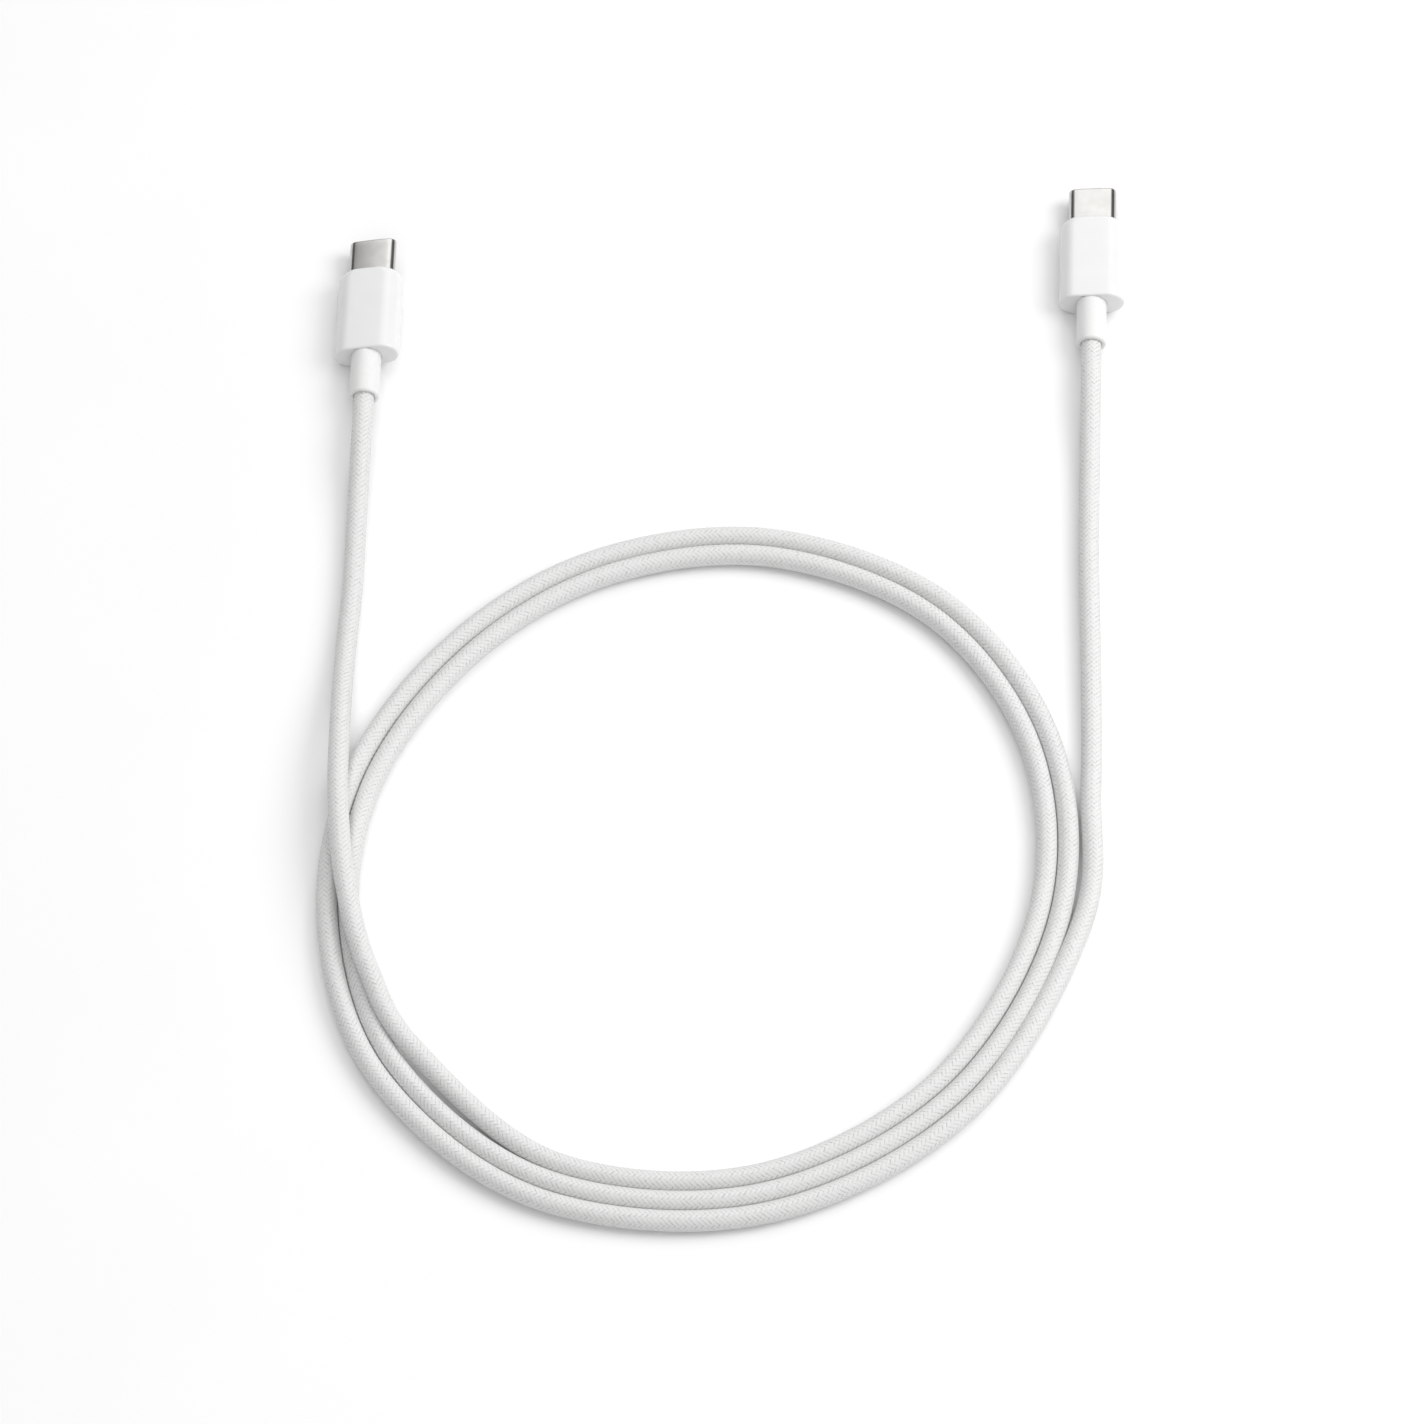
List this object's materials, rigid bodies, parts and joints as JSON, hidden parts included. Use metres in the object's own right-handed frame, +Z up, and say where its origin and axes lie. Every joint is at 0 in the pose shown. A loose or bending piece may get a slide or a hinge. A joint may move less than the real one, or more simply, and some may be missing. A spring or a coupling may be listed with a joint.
{
  "type": "charging cable",
  "caption": "White braided charging cable with the same reversible oval plug on both ends, laid flat in loose turns with both plugs pointing the same way.",
  "frame": {"origin": "on the table, midway between the two plugs", "axes": "+X from the left plug to the right plug, +Y the way both plugs point, +Z up; the turns of cord lie towards -Y"},
  "size_m": [0.1363, 0.2054, 0.0071],
  "materials": {
    "plug_shell": "polished nickel plating on drawn steel",
    "black_insulator": "matt black moulded liquid-crystal polymer",
    "gold_contacts": "gold plating on copper alloy strip",
    "spring_steel": "rolled stainless spring steel",
    "circuit_board": "green solder mask",
    "chip_epoxy": "matt black epoxy",
    "chip_ceramic": "fired ceramic with tinned ends",
    "tinned_can": "tinned steel sheet",
    "crimp_brass": "nickel-washed brass",
    "screen_wire": "tinned copper braid",
    "wire_insulation": "extruded insulation",
    "cord_jacket": "white elastomer jacket",
    "inner_resin": "natural polyethylene moulding",
    "casing_plastic": "smooth white moulding with a soft sheen",
    "sleeve_rubber": "smooth white elastomer",
    "cord_braid": "tight white yarn braid"
  },
  "bodies": {
    "root": {"left_shell": "plug_shell", "left_front_housing": "black_insulator", "left_upper_contacts": "gold_contacts", "left_lower_contacts": "gold_contacts", "left_latch": "spring_steel", "left_ground_springs": "spring_steel", "left_paddle_board": "circuit_board", "left_chip_parts": "chip_ceramic", "left_upper_shield_can": "tinned_can", "left_lower_shield_can": "tinned_can", "left_crimp_ring": "crimp_brass", "left_shield_braid": "screen_wire", "left_wires": "wire_insulation", "left_jacket_end": "cord_jacket", "left_inner_mould": "inner_resin", "left_casing": "casing_plastic", "left_sleeve": "sleeve_rubber", "right_shell": "plug_shell", "right_front_housing": "black_insulator", "right_upper_contacts": "gold_contacts", "right_lower_contacts": "gold_contacts", "right_latch": "spring_steel", "right_ground_springs": "spring_steel", "right_paddle_board": "circuit_board", "right_marker_chip": "chip_epoxy", "right_chip_parts": "chip_ceramic", "right_upper_shield_can": "tinned_can", "right_lower_shield_can": "tinned_can", "right_crimp_ring": "crimp_brass", "right_shield_braid": "screen_wire", "right_wires": "wire_insulation", "right_jacket_end": "cord_jacket", "right_inner_mould": "inner_resin", "right_casing": "casing_plastic", "right_sleeve": "sleeve_rubber", "cord": "cord_braid"}
  },
  "joints": []
}
